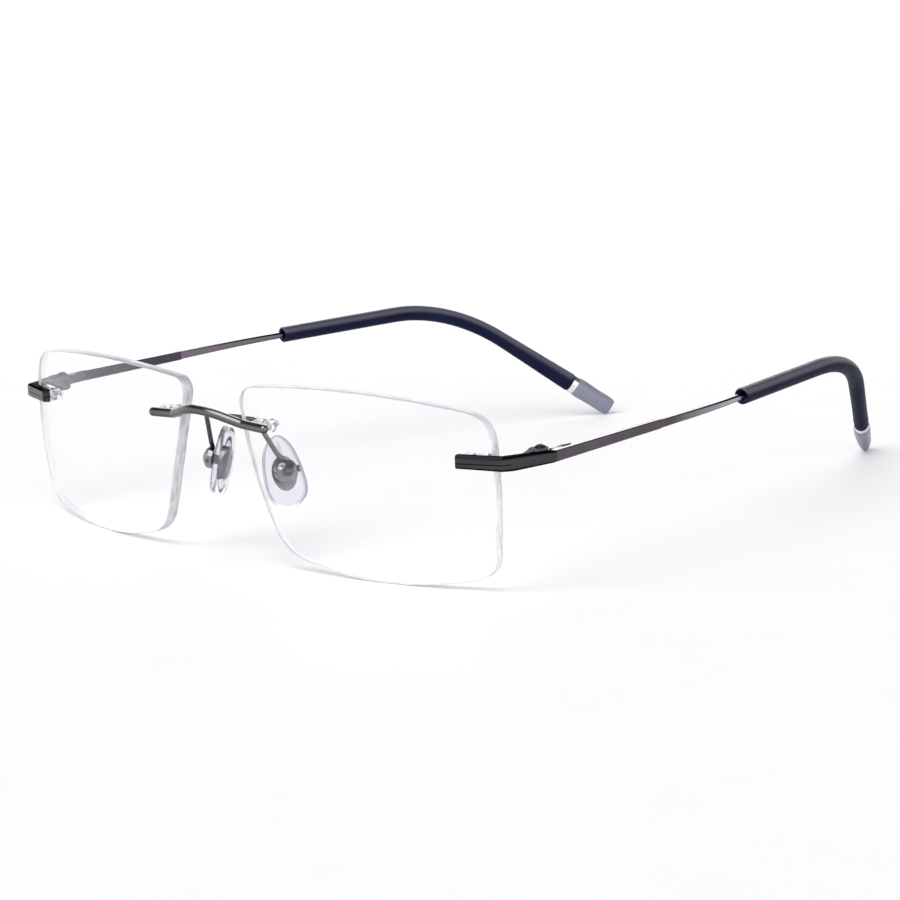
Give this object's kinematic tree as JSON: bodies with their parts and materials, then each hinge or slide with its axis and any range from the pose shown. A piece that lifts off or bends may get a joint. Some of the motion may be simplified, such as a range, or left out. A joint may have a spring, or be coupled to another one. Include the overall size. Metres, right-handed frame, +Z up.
{
  "type": "rimless eyeglasses",
  "caption": "Rimless spectacles with clear lenses clamped by studs and plugs, folding metal temples with sleeved tips, and rocking nose pads.",
  "frame": {"origin": "bottom centre of the open glasses' box: on the surface they stand on, midway between the lenses and between the bridge and the temple tips", "axes": "+X towards the wearer's left, +Y back along the temples, away from the lens fronts, +Z up; the lower lens edges and both temple tips stand on Z = 0"},
  "size_m": [0.1282, 0.1439, 0.033],
  "materials": {
    "lens_clear": "polished clear, anti-reflection coated, bare polished edge",
    "bridge_gunmetal": "polished gunmetal plating",
    "endpiece_dark": "polished black-nickel plating",
    "temple_gunmetal": "finely brushed gunmetal plating",
    "stud_steel": "bare drawn steel",
    "screw_dark": "polished dark steel",
    "plug_clear": "clear moulded polycarbonate",
    "sleeve_navy": "matt silicone",
    "ring_silver": "satin silver",
    "cap_grey": "satin lilac grey",
    "insert_grey": "satin stamped metal",
    "pad_clear": "clear soft silicone with a faint lilac tint"
  },
  "bodies": {
    "front": {"bridge": "bridge_gunmetal", "lens_left": "lens_clear", "lens_right": "lens_clear", "bridge_studs_left": "stud_steel", "bridge_studs_right": "stud_steel", "bridge_plug_left": "plug_clear", "bridge_plug_right": "plug_clear", "endpiece_left": "endpiece_dark", "endpiece_right": "endpiece_dark", "endpiece_studs_left": "stud_steel", "endpiece_studs_right": "stud_steel", "endpiece_plug_left": "plug_clear", "endpiece_plug_right": "plug_clear", "hinge_screw_left": "screw_dark", "hinge_screw_right": "screw_dark", "pad_arm_left": "bridge_gunmetal", "pad_arm_right": "bridge_gunmetal", "pad_box_left": "bridge_gunmetal", "pad_box_right": "bridge_gunmetal", "pad_screw_left": "screw_dark", "pad_screw_right": "screw_dark"},
    "temple_left": {"temple_leaf_left": "endpiece_dark", "temple_arm_left": "temple_gunmetal", "temple_sleeve_left": "sleeve_navy", "tip_ring_left": "ring_silver", "tip_cap_left": "cap_grey"},
    "temple_right": {"temple_leaf_right": "endpiece_dark", "temple_arm_right": "temple_gunmetal", "temple_sleeve_right": "sleeve_navy", "tip_ring_right": "ring_silver", "tip_cap_right": "cap_grey"},
    "pad_left": {"pad_insert_left": "insert_grey", "nose_pad_left": "pad_clear"},
    "pad_right": {"pad_insert_right": "insert_grey", "nose_pad_right": "pad_clear"}
  },
  "joints": [
    {"name": "temple_left_fold", "type": "hinge", "parent": "front", "child": "temple_left", "pos_m": [0.06125, -0.0498, 0.0228], "axis": [0, 0, 1], "range_deg": [0, 78]},
    {"name": "temple_right_fold", "type": "hinge", "parent": "front", "child": "temple_right", "pos_m": [-0.06125, -0.0498, 0.0228], "axis": [0, 0, -1], "range_deg": [0, 68]},
    {"name": "pad_left_rock", "type": "hinge", "parent": "front", "child": "pad_left", "pos_m": [0.01021, -0.0597, 0.01594], "axis": [0.483, 0.866, 0.1294], "range_deg": [-10, 10]},
    {"name": "pad_right_rock", "type": "hinge", "parent": "front", "child": "pad_right", "pos_m": [-0.01021, -0.0597, 0.01594], "axis": [-0.483, 0.866, 0.1294], "range_deg": [-10, 10]}
  ]
}
